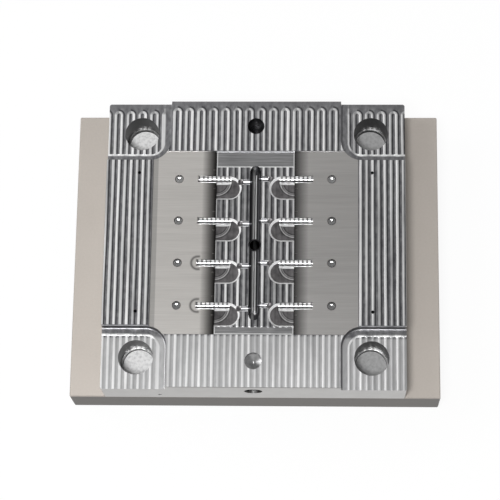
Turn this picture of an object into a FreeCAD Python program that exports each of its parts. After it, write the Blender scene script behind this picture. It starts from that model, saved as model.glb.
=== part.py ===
"""Stationary half of a small eight-cavity injection mould, lying on its back, parting face up.

A wide clamp plate carries a square cavity plate. The cavity plate's pocket holds a middle
insert with the runner and the inner halves of the cavities, and a smooth insert on each
side into which the bar-shaped ends of the cavities run. Millimetres, +Z up, with the origin
at the middle of the locating ring's outer face, on which the mould half rests.
"""

import FreeCAD
import Part
import os
import re
from math import radians

import Sketcher

SIZES = {
    # clamp plate
    "clamp_length": 250,
    "clamp_thickness": 30,
    # cavity plate
    "plate_length": 203,
    "plate_width": 200,
    "plate_thickness": 32.5,
    "plate_corner_radius": 1.5,
    "edge_chamfer": 0.6,
    "rim_chamfer": 0.3,
    # guide bush bores and the corner recesses around them
    "bush_offset_x": 1.35,
    "bush_offset_y": 0.5,
    "bush_diameter": 23.4,
    "bush_stop_diameter": 21.4,
    "bush_stop_height": 4,
    "recess_depth": 6.5,
    "recess_overlap_x": 11.5,
    "recess_overlap_y": 6,
    "recess_radius": 14,
    "recess_fillet": 1.2,
    # pocket and the three inserts in it
    "pocket_length": 139,
    "pocket_width": 128,
    "pocket_depth": 22.5,
    "insert_gap": 0.04,
    "middle_length": 53,
    "middle_drop": 2,
    "side_drop": 1,
    "roll_width": 8.5,
    # cavities: a row holds a left and a right one
    "row_pitch": 29.5,
    "bar_radius": 2.5,
    "bar_inner_end": 16.3,
    "bar_outer_end": 39,
    "lobe_radius": 8.2,
    "lobe_draft": 32,
    "lobe_centre": 17.5,
    "lobe_offset": 6,
    "lobe_depth": 2.2,
    "sector_radius": 9.6,
    "sector_offset": 0.9,
    "sector_depth": 3,
    "sector_step": 1.3,
    "sector_step_depth": 0.7,
    "vent_offset": 6.5,
    "vent_length": 2.2,
    "vent_width": 0.9,
    "vent_depth": 0.4,
    # runner, gates and wells
    "runner_radius": 2.1,
    "runner_spread": 1.6,
    "runner_half_length": 50.6,
    "well_radius": 3.4,
    "well_depth": 5.5,
    "gate_radius": 2,
    "gate_drop_radius": 1.8,
    "gate_drop_depth": 3.5,
    "gate_reach": 10.15,
    "gate_offset_left": 1.7,
    "gate_offset_right": 0.5,
    # sprue bushing and locating ring
    "sprue_setback": 1.5,
    "sprue_small_diameter": 3.5,
    "sprue_large_diameter": 7,
    "tip_diameter": 8.6,
    "shank_diameter": 16,
    "head_diameter": 35,
    "head_thickness": 9,
    "nozzle_radius": 16,
    "nozzle_depth": 3,
    "ring_diameter": 100,
    "ring_flange_diameter": 110,
    "ring_projection": 10,
    "ring_seat_depth": 5,
    "ring_bore": 30,
    "ring_mouth": 44,
    "ring_chamfer": 1.5,
    "bushing_gap": 0.02,
    "key_diameter": 4,
    "key_length": 10,
    "key_radius": 13,
    # a cutter runs out this far past an open edge
    "overcut": 1,
    # fasteners and dowels
    "screw_gap": 0.25,
    "thread_gap": 0.02,
    "thread_runout": 1,
    "clamp_screw_diameter": 10,
    "clamp_screw_head": 16,
    "clamp_screw_head_height": 10,
    "clamp_screw_length": 35,
    "clamp_screw_sunk": 1,
    "clamp_screw_x": 38,
    "clamp_screw_margin": 16,
    "ring_screw_diameter": 6,
    "ring_screw_head": 10,
    "ring_screw_head_height": 6,
    "ring_screw_length": 16,
    "ring_screw_sunk": 1,
    "ring_screw_radius": 36,
    "middle_screw_diameter": 5,
    "middle_screw_head": 8.5,
    "middle_screw_head_height": 5,
    "middle_screw_length": 14,
    "middle_screw_sunk": 0.5,
    "middle_screw_x": 17,
    "middle_screw_margin": 12,
    "side_screw_diameter": 3,
    "side_screw_head": 5.4,
    "side_screw_head_height": 3,
    "side_screw_length": 25,
    "side_screw_sunk": 0.4,
    "side_screw_margin": 17.8,
    "dowel_diameter": 10,
    "dowel_length": 36,
    "dowel_depth": 16,
    # small holes
    "band_hole_diameter": 11.4,
    "back_hole_depth": 14,
    "back_hole_step_diameter": 7,
    "back_hole_step_depth": 7,
    "front_hole_depth": 3.4,
    "front_hole_pilot_diameter": 1.8,
    "front_hole_pilot_depth": 2,
    "drill_point_height": 2.6,
    "pin_hole_diameter": 2.2,
    "pin_hole_depth": 8,
    "pin_hole_margin": 9.5,
    "pin_hole_y": 48.5,
    "lift_hole_diameter": 12,
    "lift_hole_height": 20.4,
    "lift_hole_depth": 11.5,
    "gauge_hole_diameter": 2.4,
    "gauge_hole_x": 63,
    "gauge_hole_height": 8.6,
    "gauge_hole_depth": 6,
}
ROWS = 4
NEAR = 1e-4
KEY_SHARE = 0.83    # a socket key's width as a share of the screw's diameter
RIM_SHARE = 0.05    # the chamfer on a screw head or dowel as a share of its diameter

document = FreeCAD.newDocument("MouldHalf")


def size_sheet():
    """The driving dimensions, one named cell each."""
    sheet = document.addObject("Spreadsheet::Sheet", "Sizes")
    for row, (name, value) in enumerate(SIZES.items(), start=1):
        sheet.set(f"A{row}", name)
        sheet.set(f"B{row}", str(value))
        sheet.setAlias(f"B{row}", name)
    document.recompute()
    return sheet


sheet = size_sheet()

# heights above the locating ring's outer face
CLAMP_BASE = "ring_projection"
PLATE_BASE = "ring_projection + clamp_thickness"
POCKET_FLOOR = f"{PLATE_BASE} + plate_thickness - pocket_depth"
# sizes inside a piece, from its own base
MIDDLE_TOP = "(pocket_depth - middle_drop)"
SIDE_TOP = "(pocket_depth - side_drop)"
SEAM = "(middle_length / 2)"
RUNNER_FLOOR = f"({MIDDLE_TOP} - runner_radius)"
RECESS_FLOOR = "(plate_thickness - recess_depth)"
RECESS_X = "(pocket_length / 2 - recess_overlap_x)"
RECESS_Y = "(pocket_width / 2 - recess_overlap_y)"
BUSH_X = f"(({RECESS_X} + plate_length / 2) / 2 - bush_offset_x)"
BUSH_Y = f"(({RECESS_Y} + plate_width / 2) / 2 - bush_offset_y)"
BAND_Y = "((pocket_width + plate_width) / 4)"
SIDE_BAND_X = "((pocket_length + plate_length) / 4)"
PIN_HOLE_X = "(pocket_length / 2 + pin_hole_margin)"
RING_SEAT = "(ring_projection + ring_seat_depth)"


def bound(formula):
    """The formula with each size name pointing at its cell."""
    return re.sub(r"[a-z]\w*", lambda name: f"Sizes.{name.group()}", str(formula))


def number(formula):
    return float(sheet.evalExpression(bound(formula)))


def row_y(row):
    """Where a cavity row's bar axis lies along Y, rows counted from the front."""
    return f"row_pitch * {row - (ROWS - 1) / 2}"


def new_body(label, base="0"):
    body = document.addObject("PartDesign::Body", label)
    body.setExpression("Placement.Base.z", bound(base))
    return body


def new_sketch(body, name, plane="XY_Plane", offset="0"):
    """A sketch on one of the body's own origin planes, moved along that plane's normal."""
    sketch = body.newObject("Sketcher::SketchObject", f"{body.Name}_{name}")
    support = next(item for item in body.Origin.OriginFeatures if item.Role == plane)
    sketch.AttachmentSupport = [(support, "")]
    sketch.MapMode = "FlatFace"
    sketch.setExpression("AttachmentOffset.Base.z", bound(offset))
    return sketch


def fix(sketch, kind, geometry, point, formula):
    """Hold one coordinate of a point to a formula of the sizes."""
    constraint = Sketcher.Constraint(kind, -1, 1, geometry, point, number(formula))
    index = sketch.addConstraint(constraint)
    sketch.setExpression(f"Constraints[{index}]", bound(formula))


def fix_point(sketch, geometry, point, x, y):
    fix(sketch, "DistanceX", geometry, point, x)
    fix(sketch, "DistanceY", geometry, point, y)


def fix_radius(sketch, geometry, radius):
    index = sketch.addConstraint(Sketcher.Constraint("Radius", geometry, number(radius)))
    sketch.setExpression(f"Constraints[{index}]", bound(radius))


def join(sketch, first, first_point, second, second_point):
    sketch.addConstraint(Sketcher.Constraint("Coincident", first, first_point, second, second_point))


def add_circle(sketch, x, y, radius):
    centre = FreeCAD.Vector(number(x), number(y), 0)
    circle = sketch.addGeometry(Part.Circle(centre, FreeCAD.Vector(0, 0, 1), number(radius)))
    fix_point(sketch, circle, 3, x, y)
    fix_radius(sketch, circle, radius)


def add_line(sketch, start, end):
    ends = [FreeCAD.Vector(number(x), number(y), 0) for x, y in (start, end)]
    return sketch.addGeometry(Part.LineSegment(*ends))


def add_polygon(sketch, points):
    """A closed outline through points given as pairs of formulas."""
    lines = [add_line(sketch, point, points[i - len(points) + 1]) for i, point in enumerate(points)]
    for i, line in enumerate(lines):
        join(sketch, line, 2, lines[i - len(lines) + 1], 1)
        fix_point(sketch, line, 1, *points[i])


def add_rectangle(sketch, left, right, bottom, top):
    add_polygon(sketch, [(left, bottom), (right, bottom), (right, top), (left, top)])


def add_block_rectangle(sketch, length, width):
    half_x, half_y = f"{length} / 2", f"{width} / 2"
    add_rectangle(sketch, f"-{half_x}", half_x, f"-{half_y}", half_y)


def add_arc(sketch, x, y, radius, start, end):
    """An arc about a fixed centre, from one angle to the other in degrees."""
    centre = FreeCAD.Vector(number(x), number(y), 0)
    circle = Part.Circle(centre, FreeCAD.Vector(0, 0, 1), number(radius))
    arc = sketch.addGeometry(Part.ArcOfCircle(circle, radians(start), radians(end)))
    fix_point(sketch, arc, 3, x, y)
    fix_radius(sketch, arc, radius)
    return arc


def add_notched_rectangle(sketch, half_x, half_y, centre_x, centre_y, radius):
    """A rectangle whose four corners are cut away by circles centred outside it."""
    quarters = [(1, 1, 215, 260), (-1, 1, 280, 325), (-1, -1, 35, 80), (1, -1, 100, 145)]
    arcs = [
        add_arc(sketch, f"{a} * {centre_x}", f"{b} * {centre_y}", radius, start, end)
        for a, b, start, end in quarters
    ]
    sides = [
        ("DistanceY", half_y), ("DistanceX", f"-{half_x}"),
        ("DistanceY", f"-{half_y}"), ("DistanceX", half_x),
    ]
    for i, (kind, place) in enumerate(sides):
        following = arcs[i - 3]
        start = sketch.Geometry[arcs[i]].StartPoint
        end = sketch.Geometry[following].EndPoint
        line = sketch.addGeometry(Part.LineSegment(start, end))
        join(sketch, line, 1, arcs[i], 1)
        join(sketch, line, 2, following, 2)
        fix(sketch, kind, line, 1, place)
        fix(sketch, kind, line, 2, place)


def add_tongue(sketch, x, y, radius, mouth, side):
    """A slot's outline: round towards the middle of the mould and square at its mouth."""
    arc = add_arc(sketch, x, y, radius, *((90, 270) if side > 0 else (-90, 90)))
    back_end, front_end = (1, 2) if side > 0 else (2, 1)
    back, front = f"{y} + {radius}", f"{y} - {radius}"
    corners = [(x, back), (mouth, back), (mouth, front), (x, front)]
    lines = [add_line(sketch, corners[i], corners[i + 1]) for i in range(3)]
    for i in (0, 1):
        join(sketch, lines[i], 2, lines[i + 1], 1)
        fix_point(sketch, lines[i], 2, *corners[i + 1])
    for line, line_end, arc_end in ((lines[0], 1, back_end), (lines[2], 2, front_end)):
        join(sketch, line, line_end, arc, arc_end)
        fix(sketch, "DistanceX", line, line_end, x)


def add_sector(sketch, x, y, radius, side):
    """A quarter disc that opens towards the middle of the mould and the front."""
    start, end = (270, 360) if side < 0 else (180, 270)
    arc = add_arc(sketch, x, y, radius, start, end)
    centre = sketch.Geometry[arc].Center
    first = sketch.addGeometry(Part.LineSegment(centre, sketch.Geometry[arc].StartPoint))
    second = sketch.addGeometry(Part.LineSegment(sketch.Geometry[arc].EndPoint, centre))
    for line, centre_end, arc_end in ((first, 1, 1), (second, 2, 2)):
        join(sketch, line, centre_end, arc, 3)
        join(sketch, line, 3 - centre_end, arc, arc_end)
    kinds = ("Vertical", "Horizontal") if side < 0 else ("Horizontal", "Vertical")
    for kind, line in zip(kinds, (first, second)):
        sketch.addConstraint(Sketcher.Constraint(kind, line))


def finish(body, feature):
    """Recompute, and check that the feature built one valid result."""
    document.recompute()
    if feature.State and feature.State[0] != "Up-to-date":
        raise RuntimeError(f"{feature.Label}: {feature.State}")
    if feature.Shape.isNull() or not feature.Shape.isValid():
        raise RuntimeError(f"{feature.Label} has no valid shape")
    return feature


def pad(body, sketch, length, reverse=False):
    feature = body.newObject("PartDesign::Pad", f"{sketch.Name}_pad")
    feature.Profile = sketch
    feature.Reversed = reverse
    feature.setExpression("Length", bound(length))
    sketch.Visibility = False
    return finish(body, feature)


def pocket(body, sketch, depth=None, reverse=False):
    """Cut a sketch to a depth, or through everything, and check that it removed material."""
    before = body.Shape.Volume
    feature = body.newObject("PartDesign::Pocket", f"{sketch.Name}_cut")
    feature.Profile = sketch
    feature.Reversed = reverse
    if depth is None:
        feature.Type = "ThroughAll"
    else:
        feature.setExpression("Length", bound(depth))
    finish(body, feature)
    if body.Shape.Volume > before - 1e-3:
        raise RuntimeError(f"{feature.Label} cuts nothing")
    return feature


def turned(body, sketch, kind="PartDesign::Revolution", axis="V_Axis"):
    """Turn a profile about one of its sketch's axes, as added or removed material."""
    feature = body.newObject(kind, f"{sketch.Name}_turned")
    feature.Profile = sketch
    feature.ReferenceAxis = (sketch, [axis])
    feature.Angle = 360
    return finish(body, feature)


def named_edges(shape, chosen):
    return [f"Edge{i}" for i, edge in enumerate(shape.Edges, start=1) if chosen(edge)]


def dress(body, kind, name, size, chosen):
    """Chamfer or fillet the chosen edges of what the body holds so far."""
    base = body.Tip
    feature = body.newObject(f"PartDesign::{kind}", f"{body.Name}_{name}")
    feature.Base = (base, named_edges(base.Shape, chosen))
    feature.setExpression("Size" if kind == "Chamfer" else "Radius", bound(size))
    return finish(body, feature)


def is_straight(edge):
    return edge.Curve.TypeId == "Part::GeomLine"


def is_upright(edge):
    return is_straight(edge) and abs(edge.tangentAt(edge.FirstParameter).z) > 0.999


def at_height(edge, height):
    return all(abs(vertex.Z - height) < NEAR for vertex in edge.Vertexes)


def four_corners(x, y):
    return [(f"{a} * ({x})", f"{b} * ({y})") for a in (-1, 1) for b in (-1, 1)]


CLAMP_SCREWS = four_corners("clamp_screw_x", "plate_width / 2 - clamp_screw_margin")
RING_SCREWS = [(f"{side} * ring_screw_radius", "-sprue_setback") for side in (-1, 1)]
MIDDLE_SCREWS = four_corners("middle_screw_x", "pocket_width / 2 - middle_screw_margin")
DOWELS = [(f"{side} * {SIDE_BAND_X}", "0") for side in (-1, 1)]
KEY = [("0", "key_radius - sprue_setback")]


def side_screws(side):
    x = f"{side} * (pocket_length / 2 - side_screw_margin)"
    return [(x, row_y(row)) for row in range(ROWS)]


def cut_circles(body, name, places, radius, depth=None, height="0", reverse=False):
    sketch = new_sketch(body, name, offset=height)
    for x, y in places:
        add_circle(sketch, x, y, radius)
    pocket(body, sketch, depth, reverse)


def clamp_plate():
    """The plate whose long edges stand out past the mould for the machine's clamps."""
    body = new_body("clamp_plate", CLAMP_BASE)
    outline = new_sketch(body, "outline")
    add_block_rectangle(outline, "clamp_length", "plate_width")
    pad(body, outline, "clamp_thickness")
    sprue = [("0", "-sprue_setback")]
    up = {"reverse": True}
    cut_circles(body, "ring_seat", sprue, "ring_flange_diameter / 2 + bushing_gap", "ring_seat_depth", **up)
    cut_circles(body, "head_seat", sprue, "head_diameter / 2 + screw_gap",
                "ring_seat_depth + head_thickness", **up)
    cut_circles(body, "shank_bore", sprue, "shank_diameter / 2 + bushing_gap", **up)
    cut_circles(body, "clamp_screw_heads", CLAMP_SCREWS, "clamp_screw_head / 2 + screw_gap",
                "clamp_screw_head_height + clamp_screw_sunk", **up)
    cut_circles(body, "clamp_screw_holes", CLAMP_SCREWS, "clamp_screw_diameter / 2 + screw_gap", **up)
    cut_circles(body, "ring_screw_threads", RING_SCREWS, "ring_screw_diameter / 2 + thread_gap",
                "ring_screw_sunk + ring_screw_head_height + ring_screw_length - ring_projection"
                " + thread_runout", **up)
    cut_circles(body, "dowel_holes", DOWELS, "dowel_diameter / 2 + thread_gap",
                "dowel_length - dowel_depth", "clamp_thickness")
    cut_circles(body, "key_hole", KEY, "key_diameter / 2 + thread_gap",
                "ring_seat_depth + head_thickness + key_length / 2", **up)
    top = number("clamp_thickness")
    rim = number("clamp_length") / 2, number("plate_width") / 2

    def outer_edge(edge):
        middle = edge.CenterOfMass
        outside = abs(abs(middle.x) - rim[0]) < NEAR or abs(abs(middle.y) - rim[1]) < NEAR
        along_rim = is_upright(edge) or at_height(edge, top) or at_height(edge, 0)
        return is_straight(edge) and outside and along_rim

    dress(body, "Chamfer", "edges", "edge_chamfer", outer_edge)
    return body


def cavity_plate():
    """The square plate with the bush bores, the corner recesses and the insert pocket."""
    body = new_body("cavity_plate", PLATE_BASE)
    outline = new_sketch(body, "outline")
    add_block_rectangle(outline, "plate_length", "plate_width")
    pad(body, outline, "plate_thickness")
    dress(body, "Fillet", "corners", "plate_corner_radius", is_upright)
    for a, b in ((-1, -1), (-1, 1), (1, -1), (1, 1)):
        recess = new_sketch(body, f"recess_{a + 1}{b + 1}", offset="plate_thickness")
        add_rectangle(recess, f"{a} * {RECESS_X}", f"{a} * (plate_length / 2 + overcut)",
                      f"{b} * {RECESS_Y}", f"{b} * (plate_width / 2 + overcut)")
        pocket(body, recess, "recess_depth")
    inner = number(RECESS_X), number(RECESS_Y)

    def inner_corner(edge):
        middle = edge.CenterOfMass
        off = abs(abs(middle.x) - inner[0]) + abs(abs(middle.y) - inner[1])
        return is_upright(edge) and off < NEAR

    dress(body, "Fillet", "recess_corners", "recess_radius", inner_corner)
    floor = number(RECESS_FLOOR)
    rim = number("plate_length / 2 - plate_corner_radius"), number("plate_width / 2 - plate_corner_radius")

    def floor_edge(edge):
        middle = edge.CenterOfMass
        inside = abs(middle.x) < rim[0] and abs(middle.y) < rim[1]
        return at_height(edge, floor) and inside

    dress(body, "Fillet", "recess_floors", "recess_fillet", floor_edge)
    opening = new_sketch(body, "opening", offset="plate_thickness")
    add_notched_rectangle(opening, "(pocket_length / 2)", "(pocket_width / 2)",
                          f"({RECESS_X} + recess_radius)", f"({RECESS_Y} + recess_radius)",
                          "recess_radius")
    pocket(body, opening, "pocket_depth")
    bushes = four_corners(BUSH_X, BUSH_Y)
    top = "plate_thickness"
    up = {"reverse": True}
    cut_circles(body, "bush_bores", bushes, "bush_diameter / 2", f"{top} - bush_stop_height", top)
    cut_circles(body, "bush_stops", bushes, "bush_stop_diameter / 2", "bush_stop_height", **up)
    cut_circles(body, "shank_bore", [("0", "-sprue_setback")], "shank_diameter / 2 + bushing_gap",
                "plate_thickness - pocket_depth", **up)
    cut_circles(body, "clamp_screw_threads", CLAMP_SCREWS, "clamp_screw_diameter / 2 + thread_gap",
                "clamp_screw_sunk + clamp_screw_head_height + clamp_screw_length - clamp_thickness"
                " + thread_runout", **up)
    cut_circles(body, "dowel_holes", DOWELS, "dowel_diameter / 2 + thread_gap", "dowel_depth", **up)
    cut_circles(body, "middle_screw_heads", MIDDLE_SCREWS, "middle_screw_head / 2 + screw_gap",
                "middle_screw_head_height + middle_screw_sunk", **up)
    cut_circles(body, "middle_screw_holes", MIDDLE_SCREWS, "middle_screw_diameter / 2 + screw_gap",
                "plate_thickness - pocket_depth", **up)
    for side, name in ((-1, "left"), (1, "right")):
        cut_circles(body, f"side_screw_threads_{name}", side_screws(side),
                    "side_screw_diameter / 2 + thread_gap",
                    f"side_screw_length + side_screw_head_height + side_screw_sunk - {SIDE_TOP}"
                    " + thread_runout", "plate_thickness - pocket_depth")
    small_holes(body)
    height = number(top)

    def rim_edge(edge):
        round_hole = edge.isClosed()
        return at_height(edge, height) and not round_hole

    dress(body, "Chamfer", "rims", "rim_chamfer", rim_edge)
    return body


def small_holes(body):
    """The holes in the cavity plate's bands and front face."""
    top = "plate_thickness"
    back = [("0", BAND_Y)]
    cut_circles(body, "back_hole", back, "band_hole_diameter / 2", "back_hole_depth", top)
    cut_circles(body, "back_hole_step", back, "back_hole_step_diameter / 2",
                "back_hole_depth + back_hole_step_depth", top)
    front = [("0", f"-{BAND_Y}")]
    cut_circles(body, "front_hole", front, "band_hole_diameter / 2", "front_hole_depth", top)
    cone = body.newObject("PartDesign::SubtractiveCone", "front_hole_point")
    cone.setExpression("Radius1", bound("front_hole_pilot_diameter / 2"))
    cone.setExpression("Radius2", bound("band_hole_diameter / 2"))
    cone.setExpression("Height", bound("drill_point_height"))
    cone.setExpression("Placement.Base.y", bound(f"-{BAND_Y}"))
    cone.setExpression("Placement.Base.z", bound(f"{top} - front_hole_depth - drill_point_height"))
    finish(body, cone)
    cut_circles(body, "front_hole_pilot", front, "front_hole_pilot_diameter / 2",
                "front_hole_depth + drill_point_height + front_hole_pilot_depth", top)
    cut_circles(body, "pin_holes", four_corners(PIN_HOLE_X, "pin_hole_y"),
                "pin_hole_diameter / 2", "pin_hole_depth", top)
    front_face = {"plane": "XZ_Plane", "offset": "plate_width / 2"}
    lift = new_sketch(body, "lift_hole", **front_face)
    add_circle(lift, "0", "lift_hole_height", "lift_hole_diameter / 2")
    pocket(body, lift, "lift_hole_depth")
    gauge = new_sketch(body, "gauge_hole", **front_face)
    add_circle(gauge, "-gauge_hole_x", "gauge_hole_height", "gauge_hole_diameter / 2")
    pocket(body, gauge, "gauge_hole_depth")


def middle_insert():
    """The insert with the runner, its gates and the inner halves of the eight cavities."""
    body = new_body("middle_insert", POCKET_FLOOR)
    outline = new_sketch(body, "outline")
    add_block_rectangle(outline, "(middle_length - 2 * insert_gap)", "(pocket_width - 2 * insert_gap)")
    pad(body, outline, MIDDLE_TOP)
    rows = [row_y(row) for row in range(ROWS)]
    for side, name in ((-1, "left"), (1, "right")):
        lobes = new_sketch(body, f"lobes_{name}", offset=MIDDLE_TOP)
        for y in rows:
            add_tongue(lobes, f"{side} * lobe_centre", f"({y} - lobe_offset)", "lobe_radius",
                       f"{side} * ({SEAM} + lobe_depth)", side)
        cut = pocket(body, lobes, "lobe_depth")
        cut.setExpression("TaperAngle", bound("-lobe_draft"))
        finish(body, cut)
        for step in (0, 1):
            sectors = new_sketch(body, f"sectors_{name}_{step}", offset=MIDDLE_TOP)
            for y in rows:
                add_sector(sectors, f"{side} * {SEAM}", f"{y} - sector_offset",
                           f"(sector_radius - {step} * sector_step)", side)
            pocket(body, sectors, f"sector_depth + {step} * sector_step_depth")
        bars = new_sketch(body, f"bars_{name}", "YZ_Plane", f"{side} * bar_inner_end")
        for y in rows:
            add_circle(bars, y, MIDDLE_TOP, "bar_radius")
        pocket(body, bars, f"{SEAM} - bar_inner_end", reverse=side > 0)
        gate_rows = [f"{y} + {side} * gate_offset_{name}" for y in rows]
        drops = [(f"{side} * gate_reach", y) for y in gate_rows]
        cut_circles(body, f"gate_drops_{name}", drops, "gate_drop_radius", "gate_drop_depth", MIDDLE_TOP)
        gates = new_sketch(body, f"gates_{name}", "YZ_Plane", f"{side} * gate_reach")
        for y in gate_rows:
            add_circle(gates, y, MIDDLE_TOP, "gate_radius")
        pocket(body, gates, "gate_reach - runner_spread", reverse=side < 0)
        groove = new_sketch(body, f"runner_{name}", "XZ_Plane")
        add_circle(groove, f"{side} * runner_spread", MIDDLE_TOP, "runner_radius")
        cut = pocket(body, groove, "2 * runner_half_length")
        cut.SideType = "Symmetric"
        finish(body, cut)
    wells = [("0", f"{end} * runner_half_length") for end in (-1, 1)]
    cut_circles(body, "wells", wells, "well_radius", "well_depth", MIDDLE_TOP)
    cut_circles(body, "tip_bore", [("0", "-sprue_setback")], "tip_diameter / 2 + bushing_gap",
                height=MIDDLE_TOP)
    cut_circles(body, "screw_threads", MIDDLE_SCREWS, "middle_screw_diameter / 2 + thread_gap",
                "middle_screw_head_height + middle_screw_sunk + middle_screw_length + pocket_depth"
                " - plate_thickness + thread_runout", reverse=True)
    return body


def add_rolled_profile(sketch, side):
    """A side insert's section: flat on top, rolling down to the middle insert at the seam."""
    outer = f"{side} * (pocket_length / 2 - insert_gap)"
    seam = f"{side} * ({SEAM} + insert_gap)"
    roll_start = f"{side} * ({SEAM} + insert_gap + roll_width)"
    drop = "(middle_drop - side_drop)"
    radius = f"((roll_width * roll_width + {drop} * {drop}) / (2 * {drop}))"
    angles = (60, 90) if side < 0 else (90, 120)
    arc = add_arc(sketch, roll_start, f"{SIDE_TOP} - {radius}", radius, *angles)
    flat_point, seam_point = (2, 1) if side < 0 else (1, 2)
    fix(sketch, "DistanceX", arc, flat_point, roll_start)
    fix(sketch, "DistanceX", arc, seam_point, seam)
    corners = [(roll_start, SIDE_TOP), (outer, SIDE_TOP), (outer, "0"), (seam, "0"), (seam, MIDDLE_TOP)]
    lines = [add_line(sketch, corners[i], corners[i + 1]) for i in range(4)]
    for i in range(3):
        join(sketch, lines[i], 2, lines[i + 1], 1)
        fix_point(sketch, lines[i], 2, *corners[i + 1])
    join(sketch, lines[0], 1, arc, flat_point)
    join(sketch, lines[3], 2, arc, seam_point)


def side_insert(side, name):
    """The smooth insert beside the middle one, with the outer ends of four bars."""
    body = new_body(f"side_insert_{name}", POCKET_FLOOR)
    section = new_sketch(body, "section", "XZ_Plane")
    add_rolled_profile(section, side)
    block = pad(body, section, "pocket_width - 2 * insert_gap")
    block.SideType = "Symmetric"
    finish(body, block)
    notches = [
        (f"{side} * ({RECESS_X} + recess_radius)", f"{end} * ({RECESS_Y} + recess_radius)")
        for end in (-1, 1)
    ]
    cut_circles(body, "notches", notches, "recess_radius + insert_gap", height=SIDE_TOP)
    rows = [row_y(row) for row in range(ROWS)]
    bars = new_sketch(body, "bars", "YZ_Plane", f"{side} * bar_outer_end")
    slots = new_sketch(body, "bar_slots", "YZ_Plane", f"{side} * bar_outer_end")
    for y in rows:
        add_circle(bars, y, MIDDLE_TOP, "bar_radius")
        add_rectangle(slots, f"{y} - bar_radius", f"{y} + bar_radius", MIDDLE_TOP, f"{SIDE_TOP} + overcut")
    for sketch in (bars, slots):
        pocket(body, sketch, f"bar_outer_end - {SEAM}", reverse=side < 0)
    vents = new_sketch(body, "vents", offset=SIDE_TOP)
    for y in rows:
        for above in (-1, 1):
            centre = f"({y} + {above} * vent_offset)"
            add_rectangle(vents, f"{side} * {SEAM}", f"{side} * ({SEAM} + vent_length)",
                          f"{centre} - vent_width / 2", f"{centre} + vent_width / 2")
    pocket(body, vents, "middle_drop - side_drop + vent_depth")
    screws = side_screws(side)
    cut_circles(body, "screw_heads", screws, "side_screw_head / 2 + screw_gap",
                "side_screw_head_height + side_screw_sunk", SIDE_TOP)
    cut_circles(body, "screw_holes", screws, "side_screw_diameter / 2 + screw_gap", height=SIDE_TOP)
    return body


def sprue_bushing():
    """The turned bushing that leads the melt from the nozzle to the runner."""
    body = new_body("sprue_bushing", RING_SEAT)
    body.setExpression("Placement.Base.y", bound("-sprue_setback"))
    shank_end = "(clamp_thickness - ring_seat_depth + plate_thickness - pocket_depth)"
    end = f"({shank_end} + {RUNNER_FLOOR})"
    section = new_sketch(body, "section", "XZ_Plane")
    add_polygon(section, [
        ("sprue_small_diameter / 2", "0"), ("head_diameter / 2", "0"),
        ("head_diameter / 2", "head_thickness"), ("shank_diameter / 2", "head_thickness"),
        ("shank_diameter / 2", shank_end), ("tip_diameter / 2", shank_end),
        ("tip_diameter / 2", end), ("sprue_large_diameter / 2", end),
    ])
    turned(body, section)
    dish = body.newObject("PartDesign::SubtractiveSphere", "nozzle_dish")
    dish.setExpression("Radius", bound("nozzle_radius"))
    dish.setExpression("Placement.Base.z", bound("nozzle_depth - nozzle_radius"))
    finish(body, dish)
    cut_circles(body, "key_hole", [("0", "key_radius")], "key_diameter / 2 + thread_gap",
                "key_length / 2", "head_thickness")
    return body


def locating_ring():
    """The ring that centres the mould half on the machine and holds the bushing's head."""
    body = new_body("locating_ring")
    body.setExpression("Placement.Base.y", bound("-sprue_setback"))
    section = new_sketch(body, "section", "XZ_Plane")
    funnel = "((ring_mouth - ring_bore) / 2)"
    add_polygon(section, [
        ("ring_mouth / 2", "0"), ("ring_diameter / 2 - ring_chamfer", "0"),
        ("ring_diameter / 2", "ring_chamfer"), ("ring_diameter / 2", "ring_projection"),
        ("ring_flange_diameter / 2", "ring_projection"), ("ring_flange_diameter / 2", RING_SEAT),
        ("ring_bore / 2", RING_SEAT), ("ring_bore / 2", funnel),
    ])
    turned(body, section)
    places = [(f"{side} * ring_screw_radius", "0") for side in (-1, 1)]
    cut_circles(body, "screw_heads", places, "ring_screw_head / 2 + screw_gap",
                "ring_screw_head_height + ring_screw_sunk", reverse=True)
    cut_circles(body, "screw_holes", places, "ring_screw_diameter / 2 + screw_gap", reverse=True)
    return body


def add_hexagon(sketch, x, y, across):
    """A hexagon whose flats lie as far apart as the key is wide."""
    flat = f"({across} / 2)"
    corner = f"({across} / 3 ^ 0.5)"
    turns = [(1, 0), (0.5, 1), (-0.5, 1), (-1, 0), (-0.5, -1), (0.5, -1)]
    add_polygon(sketch, [(f"{x} + {a} * {corner}", f"{y} + {b} * {flat}") for a, b in turns])


def cap_screws(label, kind, places, seat, points_up):
    """Socket head cap screws: heads seated at one height, shanks along +Z or -Z."""
    body = new_body(label, seat)
    shanks = new_sketch(body, "shanks")
    heads = new_sketch(body, "heads")
    keys = new_sketch(body, "keys", offset=f"{-1 if points_up else 1} * {kind}_head_height")
    for x, y in places:
        add_circle(shanks, x, y, f"{kind}_diameter / 2")
        add_circle(heads, x, y, f"{kind}_head / 2")
        add_hexagon(keys, x, y, f"({kind}_diameter * {KEY_SHARE})")
    pad(body, shanks, f"{kind}_length", reverse=not points_up)
    pad(body, heads, f"{kind}_head_height", reverse=points_up)
    pocket(body, keys, f"{kind}_head_height / 2", reverse=points_up)
    head_top = number(f"{-1 if points_up else 1} * {kind}_head_height")
    radius = number(f"{kind}_head / 2")

    def head_rim(edge):
        return edge.isClosed() and at_height(edge, head_top) and abs(edge.Curve.Radius - radius) < NEAR

    dress(body, "Chamfer", "head_rims", f"{kind}_head * {RIM_SHARE}", head_rim)
    return body


def pins(label, places, base, diameter, length):
    """Straight ground dowels with chamfered ends."""
    body = new_body(label, base)
    sketch = new_sketch(body, "outline")
    for x, y in places:
        add_circle(sketch, x, y, f"{diameter} / 2")
    pad(body, sketch, length)
    dress(body, "Chamfer", "ends", f"{diameter} * {RIM_SHARE}", lambda edge: edge.isClosed())
    return body


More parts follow.
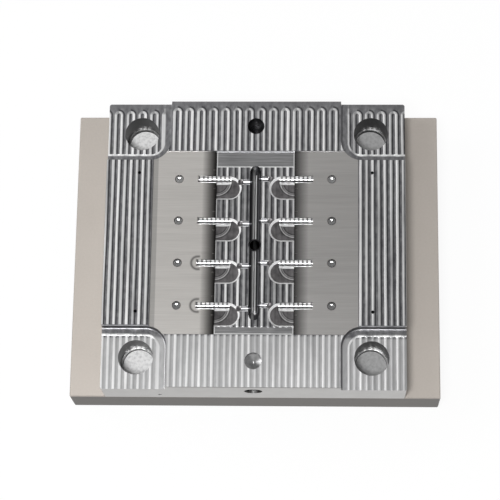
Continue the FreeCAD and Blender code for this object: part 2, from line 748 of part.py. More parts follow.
def build():
    """Every piece of the mould half."""
    pieces = [clamp_plate(), cavity_plate(), middle_insert(), sprue_bushing(), locating_ring()]
    for side, name in ((-1, "left"), (1, "right")):
        pieces.append(side_insert(side, name))
        seat = f"{POCKET_FLOOR} + {SIDE_TOP} - side_screw_sunk - side_screw_head_height"
        label = f"side_insert_screws_{name}"
        pieces.append(cap_screws(label, "side_screw", side_screws(side), seat, False))
    pieces.append(cap_screws("clamp_screws", "clamp_screw", CLAMP_SCREWS,
                             f"{CLAMP_BASE} + clamp_screw_sunk + clamp_screw_head_height", True))
    pieces.append(cap_screws("ring_screws", "ring_screw", RING_SCREWS,
                             "ring_screw_sunk + ring_screw_head_height", True))
    pieces.append(cap_screws("middle_insert_screws", "middle_screw", MIDDLE_SCREWS,
                             f"{PLATE_BASE} + middle_screw_sunk + middle_screw_head_height", True))
    pieces.append(pins("plate_dowels", DOWELS, f"{PLATE_BASE} + dowel_depth - dowel_length",
                       "dowel_diameter", "dowel_length"))
    pieces.append(pins("bushing_key", KEY, f"{RING_SEAT} + head_thickness - key_length / 2",
                       "key_diameter", "key_length"))
    return pieces


def export(pieces):
    """Check the whole document, then write one STEP file for each piece."""
    document.recompute()
    for item in document.Objects:
        if {"Invalid", "Error"} & set(item.State):
            raise RuntimeError(f"{item.Label}: {item.State}")
    os.makedirs("parts", exist_ok=True)
    for piece in pieces:
        shape = piece.Shape
        if shape.isNull() or not shape.isValid() or not shape.Solids:
            raise RuntimeError(f"{piece.Label} is not a valid solid")
        print(piece.Label, len(shape.Solids), round(shape.Volume, 1), shape.BoundBox)
        shape.exportStep(f"parts/{piece.Label}.step")


export(build())
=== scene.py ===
import math

import bpy
from mathutils import Matrix, Vector


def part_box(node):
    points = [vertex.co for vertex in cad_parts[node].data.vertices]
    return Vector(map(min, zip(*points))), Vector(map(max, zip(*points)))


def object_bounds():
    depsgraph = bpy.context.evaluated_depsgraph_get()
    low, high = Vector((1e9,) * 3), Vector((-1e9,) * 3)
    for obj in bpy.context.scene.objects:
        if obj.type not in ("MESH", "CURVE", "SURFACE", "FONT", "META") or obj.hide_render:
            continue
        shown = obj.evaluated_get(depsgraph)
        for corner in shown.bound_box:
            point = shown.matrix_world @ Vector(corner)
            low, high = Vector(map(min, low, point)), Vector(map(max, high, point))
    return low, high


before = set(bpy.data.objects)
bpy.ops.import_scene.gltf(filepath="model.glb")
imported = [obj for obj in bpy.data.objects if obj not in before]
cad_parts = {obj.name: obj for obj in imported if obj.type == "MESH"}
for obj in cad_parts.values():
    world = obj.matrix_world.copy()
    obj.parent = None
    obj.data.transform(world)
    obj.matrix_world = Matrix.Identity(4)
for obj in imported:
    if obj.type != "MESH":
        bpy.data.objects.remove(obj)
CAD_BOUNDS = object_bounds()

# ---------------------------------------------------------------- sizes, in metres
MM = 0.001
FAR = 1.0                      # beyond the whole mould, for regions with one open end
SOFT_EDGE = 0.1 * MM
PLATE_HIGH = Vector(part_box("cavity_plate")[1])
MIDDLE_HIGH = Vector(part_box("middle_insert")[1])

# cavity plate
RECESS_FLOOR = PLATE_HIGH.z - 6.5 * MM
RECESS_X = 58 * MM             # inner walls of the corner recesses
RECESS_Y = 58 * MM
RECESS_RADIUS = 14 * MM
RECESS_PASS = 5.3 * MM         # from a recess wall to the edge of the pass along it
PLATE_TURN_Y = PLATE_HIGH.y - 7.75 * MM    # the passes turn back beyond it
PLATE_STRIP_Y = PLATE_HIGH.y - 3.2 * MM    # the plainer strip at the back starts here
PLATE_LIT_FRONT_Y = -64 * MM       # the front band, painted lighter as painted light, starts here
BAND_HOLE_Y = 82 * MM          # the screw holes in the back and front bands
BAND_HOLE_REACH = 6 * MM
PIN_HOLE_X = 79 * MM
PIN_HOLE_Y = 48.5 * MM
PIN_HOLE_REACH = 1.3 * MM

# milled passes
PASS_PITCH = 4.1 * MM          # distance between two passes of the face mill
PASS_START = -0.7 * MM         # where one pass edge lies
EDGE_HIGHLIGHT_WIDTH = 1.02 * MM         # half width of the painted highlight on a pass edge
RIDGE_WIDTH = 1.2 * MM         # half width of the ridge that the bump gives it
RIDGE_HEIGHT = 0.09 * MM
FLANK_SHADE_OFFSET = 1.55 * MM       # the painted shade on the flank beside a pass edge
FLANK_SHADE_WIDTH = 0.9 * MM
LAY_DEPTH = 0.006 * MM         # depth of a ground lay or of fine tool streaks

# inserts
ROW_PITCH = 29.5 * MM          # the four rows of cavities
SEAM_X = 26.5 * MM             # the seams between the middle and side inserts
SEAM_HIGHLIGHT_X = 26.0 * MM        # the painted highlight beside each seam
SEAM_ROLL = 9.5 * MM           # width over which a side insert rolls down to its seam, and is painted darker there as shade
INSERT_TURN_Y = 52.5 * MM
INSERT_BACK_Y = 53.3 * MM      # the cross-laid strips start at these
INSERT_FRONT_Y = -58.4 * MM
INSERT_EDGE_HIGHLIGHT_Y = -63.4 * MM     # the painted highlight along the middle insert's front edge
CAVITY_START = 8.5 * MM        # the runner lies within it and the cavities beyond it
RUNNER_END_Y = 49 * MM
BAR_START = 16.3 * MM          # the bar channels, which run on into the side inserts
BAR_END = 39.1 * MM
BAR_MARK_PITCH = 2.9 * MM      # distance between two cross cuts in a bar channel
GATE_FORWARD = 1.7 * MM        # how far the left gates lie in front of their row's middle
GATE_STEP = 2.2 * MM           # how much further back the right gates lie
GATE_START = 3.9 * MM
GATE_END = 8.4 * MM
DARK_ARC_X = 38 * MM               # the dark arcs round the front left bar ends
DARK_ARC_START = 36 * MM
DARK_ARC_RADIUS = 4.4 * MM
DARK_ARC_WIDTH = 1.3 * MM

# bands along Y from the middle of a row, or of a gate: where each starts and ends. The bar floor
# band is painted shade, and the rim bands of bars and gates are painted highlights
BAR_BACK = (0.2 * MM, 2.6 * MM)
BAR_FLOOR_SHADE = (-1.0 * MM, 0.2 * MM)
BAR_RIM_HIGHLIGHT = (-2.7 * MM, -1.0 * MM)
GATE_FLOOR = (-0.6 * MM, 2.2 * MM)
GATE_RIM_HIGHLIGHT = (-2.3 * MM, -0.9 * MM)

# runner, along X: the painted highlight on its crest and the painted light on the flank beside it
RUNNER_HIGHLIGHT_X = 0.5 * MM
RUNNER_HIGHLIGHT_WIDTH = 0.6 * MM
RUNNER_LIT_FLANK = (-2.2 * MM, -0.2 * MM)

# rings on a cavity's floor, the light ones painted highlights and the dark ones painted shade:
# radius and half width in millimetres, strength and colour
CAVITY_RING_HIGHLIGHTS_AND_SHADE = (
    (9.6, 0.6, 0.9, "E0E0E0"),
    (8.3, 0.5, 0.6, "C0C0C0"),
    (10.6, 0.5, 0.6, "242426"),
    (7.4, 0.6, 0.6, "2A2A2C"),
)
CAVITY_RING_MIDDLE = 0.47      # where the rings' middle lies in a row, as a share of the pitch

# noise scales, in 1/metre: a speck is about 1/scale wide. A real ground lay is too fine to
# show in the render, so the finest scales are drawn as coarse as they need, 0.7 mm
LAY_SCALE = 1500
STREAK_SCALE = 1300
MATT_SCALE = 700
FROST_SCALE = 520
MOTTLE_SCALE = 420
COARSE_SCALE = 300
BAND_SCALE = 260
SWIRL_SCALE = 260
PASS_SCALE = 190               # from one pass to the next, stronger or fainter
PATCH_SCALE = 110
WAVE_SCALE = 70
CLOUD_SCALE = 25

# how noise is drawn out: evenly, or along X as the lay of a ground insert
EVEN = (1, 1, 1)
ALONG_X = (0.03, 1, 1)

# a face is level where its normal points up by more than this
LEVEL = 0.9

# stage
FLOOR_SIZE = 6.0
FLOOR_GAP = 0.2 * MM

# lamps, all aimed at the origin: name, place, width, height and watts
LAMPS = (
    ("main_softbox", (-0.15, -0.55, 1.9), 0.4, 0.4, 26),
    ("left_softbox", (-1.5, 0.2, 1.3), 0.9, 1.4, 12),
    ("back_softbox", (-0.2, 1.1, 1.9), 1.3, 0.7, 3),
)

# camera: the target is the point it looks at, the angles are those of its line of sight
CAMERA_TARGET = Vector((-3.0, -6.0, 72.5)) * MM
CAMERA_DISTANCE = 1277.3 * MM
CAMERA_ELEVATION = 73.93
CAMERA_AZIMUTH = 7.95
CAMERA_ROLL = 0.78
CAMERA_LENS = 137.2
SENSOR_WIDTH = 36


# ---------------------------------------------------------------- helpers
def rgb(code):
    """A linear colour from a hex code such as 8A8580."""
    parts = [int(code[i:i + 2], 16) / 255 for i in (0, 2, 4)]
    linear = [c / 12.92 if c <= 0.04045 else ((c + 0.055) / 1.055) ** 2.4 for c in parts]
    return (*linear, 1.0)


def add_node(tree, kind, settings=None, links=None):
    """One shader node, with its settings and what feeds each of its sockets."""
    node = tree.nodes.new(kind)
    for name, value in (settings or {}).items():
        setattr(node, name, value)
    for socket, source in (links or {}).items():
        if isinstance(source, bpy.types.NodeSocket):
            tree.links.new(source, node.inputs[socket])
        else:
            node.inputs[socket].default_value = source
    return node


def math_node(tree, operation, *values, clamp=False):
    """A Math node's result; the values are numbers or other nodes' sockets."""
    settings = {"operation": operation, "use_clamp": clamp}
    return add_node(tree, "ShaderNodeMath", settings, dict(enumerate(values))).outputs[0]


def product(tree, *values):
    """All the values multiplied."""
    result = values[0]
    for value in values[1:]:
        result = math_node(tree, "MULTIPLY", result, value)
    return result


def average(tree, first, second):
    return product(tree, math_node(tree, "ADD", first, second), 0.5)


def mix_colour(tree, factor, first, second):
    """The first colour where the factor is 0, and the second where it is 1."""
    links = {0: factor, 6: first, 7: second}
    return add_node(tree, "ShaderNodeMix", {"data_type": "RGBA"}, links).outputs[2]


def paint(tree, base, mask, code, share=1.0):
    """The base colour, covered by a plain colour where the mask is 1."""
    cover = mask if share == 1.0 else product(tree, mask, share)
    return mix_colour(tree, cover, base, rgb(code))


def new_material(name):
    """A metal without colour yet: the material, its node tree and its shader."""
    material = bpy.data.materials.new(name)
    material.use_nodes = True
    tree = material.node_tree
    tree.nodes.clear()
    output = add_node(tree, "ShaderNodeOutputMaterial")
    shader = add_node(tree, "ShaderNodeBsdfPrincipled", None, {"Metallic": 1.0})
    tree.links.new(shader.outputs[0], output.inputs[0])
    return material, tree, shader


def place(tree):
    """The object coordinates: the whole vector, then X, Y and Z, in metres."""
    point = add_node(tree, "ShaderNodeTexCoord").outputs["Object"]
    parts = add_node(tree, "ShaderNodeSeparateXYZ", None, {0: point}).outputs
    return point, parts[0], parts[1], parts[2]


def grain(tree, point, stretch, scale, detail=3.0):
    """Noise drawn out along the directions where stretch is small; scale is in 1/metre."""
    mapping = add_node(tree, "ShaderNodeMapping", None, {"Vector": point, "Scale": stretch})
    links = {"Vector": mapping.outputs[0], "Scale": scale, "Detail": detail}
    return add_node(tree, "ShaderNodeTexNoise", None, links).outputs["Fac"]


def bumped(tree, shader, height, distance):
    """Bump from a height; a height of 1 stands out by the distance, in metres."""
    bump = add_node(tree, "ShaderNodeBump", None, {"Height": height, "Distance": distance})
    tree.links.new(bump.outputs[0], shader.inputs["Normal"])


def dress(node, material):
    """Give a CAD node a material in every slot."""
    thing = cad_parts[node]
    if not thing.data.materials:
        thing.data.materials.append(material)
    for index in range(len(thing.material_slots)):
        thing.material_slots[index].material = material


# ---------------------------------------------------------------- masks and distances
def region(tree, value, low, high, soft=SOFT_EDGE):
    """1 where the value lies between low and high, with soft edges."""
    rise = math_node(tree, "DIVIDE", math_node(tree, "SUBTRACT", value, low), soft, clamp=True)
    fall = math_node(tree, "DIVIDE", math_node(tree, "SUBTRACT", high, value), soft, clamp=True)
    return product(tree, rise, fall)


def line_at(tree, value, centre, half_width):
    """A soft line: 1 where the value is at the centre, falling to 0 a half width away."""
    off = math_node(tree, "ABSOLUTE", math_node(tree, "SUBTRACT", value, centre))
    return math_node(tree, "SUBTRACT", 1.0, math_node(tree, "DIVIDE", off, half_width), clamp=True)


def below(tree, z, height):
    """1 under a height."""
    return math_node(tree, "LESS_THAN", z, height)


def excess(tree, value, limit):
    """How far the value is over the limit, and 0 under it."""
    return math_node(tree, "MAXIMUM", math_node(tree, "SUBTRACT", value, limit), 0.0)


def cell_offset(tree, value, pitch, middle=0.5):
    """Signed distance from the middle of the value's own cell, where cells repeat at the pitch."""
    share = math_node(tree, "FRACT", math_node(tree, "DIVIDE", value, pitch))
    return product(tree, math_node(tree, "SUBTRACT", share, middle), pitch)


def diagonal(tree, first, second):
    """The length across two lengths that stand at right angles."""
    squares = [product(tree, value, value) for value in (first, second)]
    return math_node(tree, "SQRT", math_node(tree, "ADD", *squares))


def slope(tree):
    """How far a face's true normal points up, from -1 to 1."""
    normal = add_node(tree, "ShaderNodeNewGeometry").outputs["True Normal"]
    return add_node(tree, "ShaderNodeSeparateXYZ", None, {0: normal}).outputs[2]


def within_plate(tree, x, y, margin):
    """1 inside the cavity plate's outline, further than the margin from its sides."""
    parts = [math_node(tree, "LESS_THAN", math_node(tree, "ABSOLUTE", value), high - margin)
             for value, high in ((x, PLATE_HIGH.x), (y, PLATE_HIGH.y))]
    return product(tree, *parts)


def wall_distance(tree, x, y):
    """Distance from the inner wall of a corner recess, round its corner."""
    left = []
    for value, inner in ((x, RECESS_X), (y, RECESS_Y)):
        inside = math_node(tree, "SUBTRACT", math_node(tree, "ABSOLUTE", value), inner)
        rest = math_node(tree, "SUBTRACT", RECESS_RADIUS, inside)
        left.append(math_node(tree, "MAXIMUM", rest, 0.0))
    return math_node(tree, "SUBTRACT", RECESS_RADIUS, diagonal(tree, *left))


def waver(tree, point, x, swing):
    """X moved to and fro by slow noise, because a milled edge is never quite straight."""
    wave = math_node(tree, "SUBTRACT", grain(tree, point, (1, 0.15, 1), WAVE_SCALE), 0.5)
    return math_node(tree, "ADD", x, product(tree, wave, swing))


def pass_offset(tree, x, y, turn_y):
    """Signed distance from the nearest tool path edge, and the side of its pair: -1 or 1.

    The edges run along Y in pairs, and each pair closes in a half circle beyond turn_y.
    """
    across = cell_offset(tree, math_node(tree, "SUBTRACT", x, PASS_START), 2 * PASS_PITCH)
    radius = diagonal(tree, across, excess(tree, y, turn_y))
    side = math_node(tree, "SIGN", across)
    return product(tree, math_node(tree, "SUBTRACT", radius, PASS_PITCH / 2), side), side


# ---------------------------------------------------------------- machined finishes
def finish_milled(tree, shader, point, offset, weight, plain, tones):
    """Colour, roughness and bump of a milled face from the distance to its tool path edges.

    weight is each edge's strength, and plain is 1 where no edges show; tones are the
    colours of valley, flank, crest and cross-laid strip. The flank colour is painted shade, and the
    crest colour also gives the painted highlight on each edge.
    """
    valley, flank, crest, strip = (rgb(code) for code in tones)
    shown = math_node(tree, "SUBTRACT", 1.0, plain, clamp=True)

    # painted highlights on the edges, broken along their length, and some passes stronger than
    # others
    patches = grain(tree, point, (1, 0.12, 1), PATCH_SCALE, 4)
    bright = line_at(tree, offset, 0.0, EDGE_HIGHLIGHT_WIDTH)
    bright = math_node(tree, "MULTIPLY", bright, 1.5, clamp=True)
    gain = math_node(tree, "SUBTRACT", product(tree, patches, 2.4), 0.25)
    bright = math_node(tree, "MULTIPLY", bright, gain, clamp=True)
    each = grain(tree, point, (1, 0.03, 0.1), PASS_SCALE, 1)
    each = math_node(tree, "ADD", each, 0.42)
    strength = product(tree, math_node(tree, "POWER", each, 3.5), 1.75)
    bright = math_node(tree, "MULTIPLY", bright, strength, clamp=True)
    bright = product(tree, bright, product(tree, shown, weight))

    # mottled valleys with painted shade on a flank beside each edge
    broken = grain(tree, point, (1, 0.5, 1), MOTTLE_SCALE, 4)
    broken = math_node(tree, "SUBTRACT", broken, 0.3)
    mottle = math_node(tree, "MULTIPLY", broken, 0.45, clamp=True)
    shade = product(tree, line_at(tree, offset, FLANK_SHADE_OFFSET, FLANK_SHADE_WIDTH), shown)
    base = mix_colour(tree, shade, mix_colour(tree, mottle, valley, crest), flank)
    base = mix_colour(tree, bright, base, crest)

    # fine streaks across, which are all that shows on a plain strip
    streaks = grain(tree, point, (0.04, 1, 1), STREAK_SCALE)
    base = mix_colour(tree, plain, base, mix_colour(tree, streaks, valley, strip))

    ridge = product(tree, line_at(tree, offset, 0.0, RIDGE_WIDTH), shown)
    height = math_node(tree, "ADD", product(tree, ridge, RIDGE_HEIGHT),
                       product(tree, streaks, LAY_DEPTH))
    bumped(tree, shader, height, 1.0)
    rough = math_node(tree, "ADD", product(tree, patches, 0.12), 0.26)
    tree.links.new(rough, shader.inputs["Roughness"])
    return base


def plate_holes(tree, point, x, y, z, base):
    """The screw holes in the bands: painted shade in the back one, painted light in the shallow
    front one.
    """
    frosted = grain(tree, point, EVEN, FROST_SCALE, 5)
    hole = product(tree, below(tree, z, PLATE_HIGH.z - 0.5 * MM),
                   region(tree, x, -BAND_HOLE_REACH, BAND_HOLE_REACH))
    for centre, dark, light in ((BAND_HOLE_Y, "1A1A1C", "4A4A4C"),
                                (-BAND_HOLE_Y, "7A7A7C", "D8D8D8")):
        along = region(tree, y, centre - BAND_HOLE_REACH, centre + BAND_HOLE_REACH)
        floor = mix_colour(tree, frosted, rgb(dark), rgb(light))
        base = mix_colour(tree, product(tree, hole, along), base, floor)
    return base


def plate_steel():
    """The cavity plate: milled bands, contour passes in the recesses, plainer walls."""
    material, tree, shader = new_material("milled_plate_steel")
    point, x, y, z = place(tree)
    up = slope(tree)
    side = math_node(tree, "LESS_THAN", up, LEVEL)

    # passes along Y, fainter where they turn back
    offset, hand = pass_offset(tree, waver(tree, point, x, 1.1 * MM), y, PLATE_TURN_Y)
    weight = math_node(tree, "ADD", product(tree, hand, 0.2), 0.95)
    turning = region(tree, y, PLATE_TURN_Y, FAR, soft=1.5 * MM)
    weight = math_node(tree, "SUBTRACT", weight, product(tree, turning, 0.5))

    # one pass round the inner wall of each recess
    inside = wall_distance(tree, x, y)
    sunk = below(tree, z, RECESS_FLOOR + 0.4 * MM)
    around = product(tree, sunk, region(tree, inside, 0.0, 6 * MM, soft=0.3 * MM))
    contour = math_node(tree, "SUBTRACT", inside, RECESS_PASS)
    offset = add_node(tree, "ShaderNodeMix", {"data_type": "FLOAT"},
                      {0: around, 2: offset, 3: contour}).outputs[0]

    edge_strip = region(tree, y, PLATE_STRIP_Y, FAR, soft=0.6 * MM)
    plain = math_node(tree, "MAXIMUM", side, product(tree, edge_strip, 0.55))
    # valley, flank painted as shade, crest that gives the painted highlights, strip
    tones = ("67676A", "3A3A3D", "FFFFFF", "8C8C8E")
    base = finish_milled(tree, shader, point, offset, weight, plain, tones)
    # painted light: the front band's passes made lighter, as light falls on them
    front = product(tree, region(tree, y, -FAR, PLATE_LIT_FRONT_Y, soft=2 * MM), 0.42)
    front = product(tree, front, math_node(tree, "SUBTRACT", 1.0, side))
    base = paint(tree, base, front, "F4F4F4")
    within = within_plate(tree, x, y, 1.2 * MM)
    outer_wall = math_node(tree, "SUBTRACT", side, within, clamp=True)
    base = paint(tree, base, outer_wall, "B4B2AF", 0.7)

    # bores: frosted floors painted pale as painted light, and walls painted near black as shade
    # that mirror nothing, as are the pin holes
    bore = below(tree, z, RECESS_FLOOR - 0.3 * MM)
    deep = product(tree, bore, math_node(tree, "GREATER_THAN", up, LEVEL))
    frosted = grain(tree, point, EVEN, FROST_SCALE, 5)
    base = mix_colour(tree, deep, base,
                      mix_colour(tree, frosted, rgb("8A8A8A"), rgb("F2F2F2")))
    pin = below(tree, z, PLATE_HIGH.z - 0.2 * MM)
    for value, centre in ((x, PIN_HOLE_X), (y, PIN_HOLE_Y)):
        out = math_node(tree, "SUBTRACT", math_node(tree, "ABSOLUTE", value), centre)
        near = math_node(tree, "LESS_THAN", math_node(tree, "ABSOLUTE", out), PIN_HOLE_REACH)
        pin = product(tree, pin, near)
    inner = math_node(tree, "MAXIMUM", product(tree, side, bore, within), pin)
    base = paint(tree, base, inner, "1A1A1C")
    tree.links.new(math_node(tree, "SUBTRACT", 1.0, inner), shader.inputs["Metallic"])
    shader.inputs["Specular IOR Level"].default_value = 0.1

    base = plate_holes(tree, point, x, y, z, base)
    tree.links.new(base, shader.inputs["Base Color"])
    return material


def bar_marks(tree, x, y, z, base):
    """Each bar channel: cross cuts on its back wall, lighter and darker as painted reflections, a
    floor painted dark as shade and a painted highlight on its front rim.
    """
    from_row = cell_offset(tree, y, ROW_PITCH)
    reach = math_node(tree, "ABSOLUTE", x)
    channel = product(tree, region(tree, reach, BAR_START, BAR_END, soft=0.2 * MM),
                      below(tree, z, MIDDLE_HIGH.z - 0.25 * MM))
    turn = math_node(tree, "FRACT", math_node(tree, "DIVIDE", reach, BAR_MARK_PITCH))
    light = region(tree, turn, 0.3, 1.05, soft=0.12)
    marks = mix_colour(tree, light, rgb("747476"), rgb("E4E4E4"))
    back = product(tree, region(tree, from_row, *BAR_BACK, soft=0.3 * MM), channel)
    base = mix_colour(tree, back, base, marks)
    floor = product(tree, region(tree, from_row, *BAR_FLOOR_SHADE, soft=0.2 * MM), channel)
    base = paint(tree, base, floor, "3A3A3C")
    rim_highlight = product(tree, region(tree, from_row, *BAR_RIM_HIGHLIGHT, soft=0.3 * MM), channel)
    return paint(tree, base, rim_highlight, "FFFFFF")


def gate_tone(tree, x, y, low, reach, base):
    """The round gates between the runner and the cavities, with a painted highlight along their
    front rim.
    """
    right = math_node(tree, "GREATER_THAN", x, 0.0)
    lift = math_node(tree, "SUBTRACT", product(tree, right, GATE_STEP), GATE_FORWARD)
    off = cell_offset(tree, math_node(tree, "SUBTRACT", y, lift), ROW_PITCH)
    tube = product(tree, low, region(tree, reach, GATE_START, GATE_END))
    for limits, tone in ((GATE_FLOOR, "9A9A9C"), (GATE_RIM_HIGHLIGHT, "FFFFFF")):
        strip = region(tree, off, *limits, soft=0.2 * MM)
        base = paint(tree, base, product(tree, tube, strip), tone)
    return base


def cavity_tone(tree, point, y, reach):
    """A cavity's floor: dark and swirled, with the rings that its stepped disc leaves, painted as
    light highlights and dark shade.
    """
    swirl = grain(tree, point, EVEN, SWIRL_SCALE, 4)
    bowl = mix_colour(tree, swirl, rgb("3C3A3B"), rgb("8E8C8D"))
    along = cell_offset(tree, y, ROW_PITCH, CAVITY_RING_MIDDLE)
    arc = diagonal(tree, along, math_node(tree, "SUBTRACT", SEAM_X, reach))
    for ring, width, strength, tone in CAVITY_RING_HIGHLIGHTS_AND_SHADE:
        bowl = paint(tree, bowl, line_at(tree, arc, ring * MM, width * MM), tone, strength)
    return bowl


def insert_steel():
    """The middle insert: milled between its cavities, with cross-laid strips at both ends."""
    material, tree, shader = new_material("milled_insert_steel")
    point, x, y, z = place(tree)
    reach = math_node(tree, "ABSOLUTE", x)
    up = slope(tree)
    offset, hand = pass_offset(tree, waver(tree, point, x, 0.9 * MM), y, INSERT_TURN_Y)
    weight = math_node(tree, "ADD", product(tree, hand, 0.4), 0.75)
    back = region(tree, y, INSERT_BACK_Y, FAR, soft=0.2 * MM)
    front = region(tree, y, -FAR, INSERT_FRONT_Y, soft=0.2 * MM)
    strips = math_node(tree, "MAXIMUM", back, front)
    plain = math_node(tree, "MAXIMUM", strips, math_node(tree, "LESS_THAN", up, 0.98))
    # valley, flank painted as shade, crest that gives the painted highlights, strip
    tones = ("5A5A5D", "303033", "FFFFFF", "B0B0B0")
    base = finish_milled(tree, shader, point, offset, weight, plain, tones)
    # painted highlights along the back and front edges and beside each seam
    edge_highlights = math_node(tree, "ADD", line_at(tree, y, INSERT_BACK_Y, 0.6 * MM),
                      line_at(tree, y, INSERT_EDGE_HIGHLIGHT_Y, 0.7 * MM), clamp=True)
    seam_highlights = product(tree, line_at(tree, reach, SEAM_HIGHLIGHT_X, 0.5 * MM), 0.7)
    base = paint(tree, base, math_node(tree, "MAXIMUM", edge_highlights, seam_highlights), "FFFFFF")

    # cavities, whose drafted walls are painted white and matt as a painted highlight
    low = below(tree, z, MIDDLE_HIGH.z - 0.1 * MM)
    outer = product(tree, low, region(tree, reach, CAVITY_START, FAR))
    base = mix_colour(tree, outer, base, cavity_tone(tree, point, y, reach))
    drafted_highlight = product(tree, outer, region(tree, up, 0.3, 0.95, soft=0.02))
    base = paint(tree, base, drafted_highlight, "FFFFFF")

    # runner: painted dark as shade, with a painted highlight on the crest between its two grooves
    # and painted light on one flank
    runner = product(tree, low, region(tree, reach, -FAR, CAVITY_START))
    base = paint(tree, base, runner, "3A3A3C")
    crest = product(tree, region(tree, y, -RUNNER_END_Y, RUNNER_END_Y),
                    line_at(tree, x, RUNNER_HIGHLIGHT_X, RUNNER_HIGHLIGHT_WIDTH))
    base = paint(tree, base, crest, "F6F6F6")
    flank = product(tree, runner, region(tree, x, *RUNNER_LIT_FLANK, soft=0.3 * MM))
    base = paint(tree, base, flank, "9A9A9A", 0.5)
    soft = product(tree, math_node(tree, "MAXIMUM", drafted_highlight, crest), 0.85)
    tree.links.new(math_node(tree, "SUBTRACT", 1.0, soft), shader.inputs["Metallic"])

    base = gate_tone(tree, x, y, low, reach, base)
    tree.links.new(bar_marks(tree, x, y, z, base), shader.inputs["Base Color"])
    return material


def side_steel(name, tones, seam_shade_tone, outer_strip):
    """A side insert: ground across, with painted shade where it rolls down to the seam."""
    material, tree, shader = new_material(name)
    point, x, y, z = place(tree)
    reach = math_node(tree, "ABSOLUTE", x)
    light, dark = (rgb(code) for code in tones)
    lay = grain(tree, point, ALONG_X, LAY_SCALE)
    bands = grain(tree, point, ALONG_X, BAND_SCALE)
    base = mix_colour(tree, average(tree, lay, bands), dark, light)
    # painted shade that deepens towards the seam
    from_seam = math_node(tree, "DIVIDE", math_node(tree, "SUBTRACT", reach, SEAM_X), SEAM_ROLL,
                          clamp=True)
    rolled = math_node(tree, "POWER", math_node(tree, "SUBTRACT", 1.0, from_seam), 0.8)
    base = paint(tree, base, rolled, seam_shade_tone)

    # dark arcs round the bar ends, on the front left quarter only
    radius = diagonal(tree, cell_offset(tree, y, ROW_PITCH), excess(tree, reach, DARK_ARC_X))
    dark_arcs = product(tree, line_at(tree, radius, DARK_ARC_RADIUS, DARK_ARC_WIDTH),
                   region(tree, reach, DARK_ARC_START, FAR, soft=1 * MM))
    dark_arcs = product(tree, dark_arcs, region(tree, x, -FAR, 0.0), region(tree, y, -FAR, 0.0))
    base = paint(tree, base, dark_arcs, "3A3838", 0.8)
    strip = region(tree, reach, outer_strip, FAR, soft=0.2 * MM)
    base = paint(tree, base, strip, "5A5A5A", 0.35)
    tree.links.new(bar_marks(tree, x, y, z, base), shader.inputs["Base Color"])
    shader.inputs["Roughness"].default_value = 0.34
    bumped(tree, shader, lay, LAY_DEPTH)
    return material


def ground_steel(name, colour, dark, roughness):
    """Finely finished steel for small parts, with an even grain and no lay."""
    material, tree, shader = new_material(name)
    point = place(tree)[0]
    fine = grain(tree, point, EVEN, LAY_SCALE)
    coarse = grain(tree, point, EVEN, COARSE_SCALE)
    base = mix_colour(tree, average(tree, fine, coarse), rgb(dark), rgb(colour))
    tree.links.new(base, shader.inputs["Base Color"])
    shader.inputs["Roughness"].default_value = roughness
    bumped(tree, shader, fine, LAY_DEPTH)
    return material


def matt_steel(name, colour, dark):
    """The clamp plate: dull and sand-coloured with a soft mottle, with painted shade on its sides.

    Within the cavity plate's outline it is painted pale as painted light and pitted, with painted
    shade that makes its right half greyer. That is the seat which shows through the bores. The mask
    has no height, so the back face has the same tone.
    """
    material, tree, shader = new_material(name)
    point, x, y = place(tree)[:3]
    mottle = grain(tree, point, EVEN, MATT_SCALE)
    cloud = grain(tree, point, EVEN, CLOUD_SCALE)
    base = mix_colour(tree, average(tree, mottle, cloud), rgb(dark), rgb(colour))
    # painted shade on the side faces
    base = paint(tree, base, math_node(tree, "LESS_THAN", slope(tree), 0.5), "54524F", 0.9)
    # painted light: the seat white and not metallic, with painted shade on its right half
    right = product(tree, math_node(tree, "GREATER_THAN", x, 0.0), 0.7)
    spots = mix_colour(tree, right, rgb("FFFFFF"), rgb("7C7C7C"))
    speckle = grain(tree, point, EVEN, FROST_SCALE, 5)
    speckle = math_node(tree, "SUBTRACT", speckle, 0.42)
    pitted = math_node(tree, "MULTIPLY", speckle, 1.1, clamp=True)
    spots = paint(tree, spots, pitted, "5A5A5A")
    seat = within_plate(tree, x, y, 1.5 * MM)
    tree.links.new(mix_colour(tree, seat, base, spots), shader.inputs["Base Color"])
    shader.inputs["Roughness"].default_value = 0.55
    metal = product(tree, math_node(tree, "SUBTRACT", 1.0, seat), 0.55)
    tree.links.new(metal, shader.inputs["Metallic"])
    bumped(tree, shader, mottle, 0.02 * MM)
    return material


# ---------------------------------------------------------------- stage, light and camera
def make_floor():
    """A floor that is white to the camera and in mirrors, and keeps the mould's shadow."""
    height = CAD_BOUNDS[0][2] - FLOOR_GAP
    bpy.ops.mesh.primitive_plane_add(size=FLOOR_SIZE, location=(0, 0, height))
    floor = bpy.context.object
    floor.name = "floor"
    material = bpy.data.materials.new("floor_white")
    material.use_nodes = True
    tree = material.node_tree
    tree.nodes.clear()
    paper = add_node(tree, "ShaderNodeBsdfDiffuse", None, {"Color": (0.9, 0.9, 0.9, 1)})
    glow = add_node(tree, "ShaderNodeEmission", None, {"Color": (1, 1, 1, 1), "Strength": 1.0})
    path = add_node(tree, "ShaderNodeLightPath").outputs
    seen = math_node(tree, "MAXIMUM", path["Is Camera Ray"], path["Is Glossy Ray"])
    seen = math_node(tree, "MAXIMUM", seen, path["Is Transmission Ray"])
    mixed = add_node(tree, "ShaderNodeMixShader", None, {0: product(tree, seen, 0.92)})
    tree.links.new(paper.outputs[0], mixed.inputs[1])
    tree.links.new(glow.outputs[0], mixed.inputs[2])
    output = add_node(tree, "ShaderNodeOutputMaterial")
    tree.links.new(mixed.outputs[0], output.inputs[0])
    floor.data.materials.append(material)


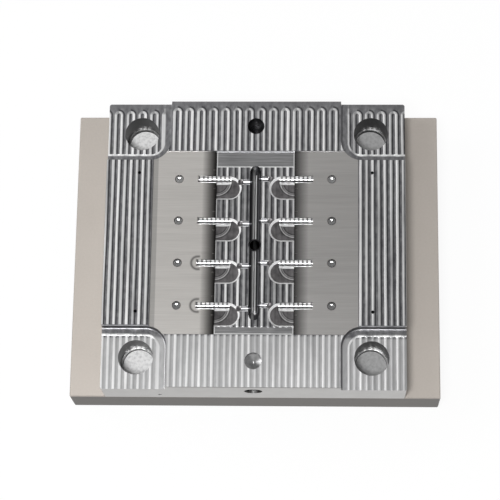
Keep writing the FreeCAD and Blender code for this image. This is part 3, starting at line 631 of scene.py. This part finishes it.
def add_lamp(name, place_at, width, height, watts):
    """A rectangular area lamp that shines at the origin."""
    lamp = bpy.data.lights.new(name, "AREA")
    lamp.shape = "RECTANGLE"
    lamp.size = width
    lamp.size_y = height
    lamp.energy = watts
    thing = bpy.data.objects.new(name, lamp)
    bpy.context.scene.collection.objects.link(thing)
    thing.location = place_at
    thing.rotation_euler = (-Vector(place_at)).to_track_quat("-Z", "Y").to_euler()


def make_light():
    """A white world, weaker overhead than at the sides, and three soft lamps."""
    world = bpy.data.worlds.new("studio")
    bpy.context.scene.world = world
    world.use_nodes = True
    tree = world.node_tree
    background = tree.nodes["Background"]
    background.inputs["Color"].default_value = (1, 1, 1, 1)
    sight = add_node(tree, "ShaderNodeTexCoord").outputs["Generated"]
    height = add_node(tree, "ShaderNodeSeparateXYZ", None, {0: sight}).outputs[2]
    limits = {"Value": height, "From Min": 0.2, "From Max": 0.8, "To Min": 0.62, "To Max": 0.17}
    strength = add_node(tree, "ShaderNodeMapRange", None, limits).outputs[0]
    tree.links.new(strength, background.inputs["Strength"])
    for lamp in LAMPS:
        add_lamp(*lamp)


def make_camera():
    """The camera, placed by its target, its distance and the angles of its line of sight."""
    elevation, azimuth = math.radians(CAMERA_ELEVATION), math.radians(CAMERA_AZIMUTH)
    level = math.cos(elevation)
    sight = Vector((-level * math.sin(azimuth), level * math.cos(azimuth), -math.sin(elevation)))
    roll = math.radians(CAMERA_ROLL)
    right = sight.cross(Vector((-math.sin(roll), math.cos(roll), 0))).normalized()
    up = right.cross(sight)
    turn = Matrix((right, up, -sight)).transposed().to_4x4()
    camera = bpy.data.cameras.new("camera")
    camera.lens = CAMERA_LENS
    camera.sensor_width = SENSOR_WIDTH
    thing = bpy.data.objects.new("camera", camera)
    bpy.context.scene.collection.objects.link(thing)
    thing.matrix_world = Matrix.Translation(CAMERA_TARGET - sight * CAMERA_DISTANCE) @ turn
    bpy.context.scene.camera = thing


# ---------------------------------------------------------------- put together
bpy.ops.object.select_all(action="DESELECT")
make_floor()
make_light()
make_camera()
dress("clamp_plate", matt_steel("matt_ground_steel", "B9B2AB", "A8A19A"))
dress("cavity_plate", plate_steel())
dress("middle_insert", insert_steel())
# the left insert painted lighter and the right one darker: lit and shaded copies of one ground
# steel
dress("side_insert_left",
      side_steel("ground_left_insert_lit", ("D8D5D1", "B2AFAB"), "121010", 66 * MM))
dress("side_insert_right",
      side_steel("ground_right_insert_shaded", ("BBB9B7", "989694"), "2C2B2B", 90 * MM))
dress("sprue_bushing", ground_steel("bushing_steel", "3E3E40", "2A2A2C", 0.3))
dress("locating_ring", ground_steel("turned_steel", "8A8A8A", "6E6E6E", 0.28))
black = ground_steel("black_oxide", "5A5A5C", "3A3A3C", 0.4)
bright = ground_steel("bright_pin_steel", "BDBDBD", "A5A5A5", 0.22)
for screws in ("clamp_screws", "ring_screws", "middle_insert_screws"):
    dress(screws, black)
for small in ("side_insert_screws_left", "side_insert_screws_right", "plate_dowels", "bushing_key"):
    dress(small, bright)
bpy.context.scene.view_settings.view_transform = "Standard"
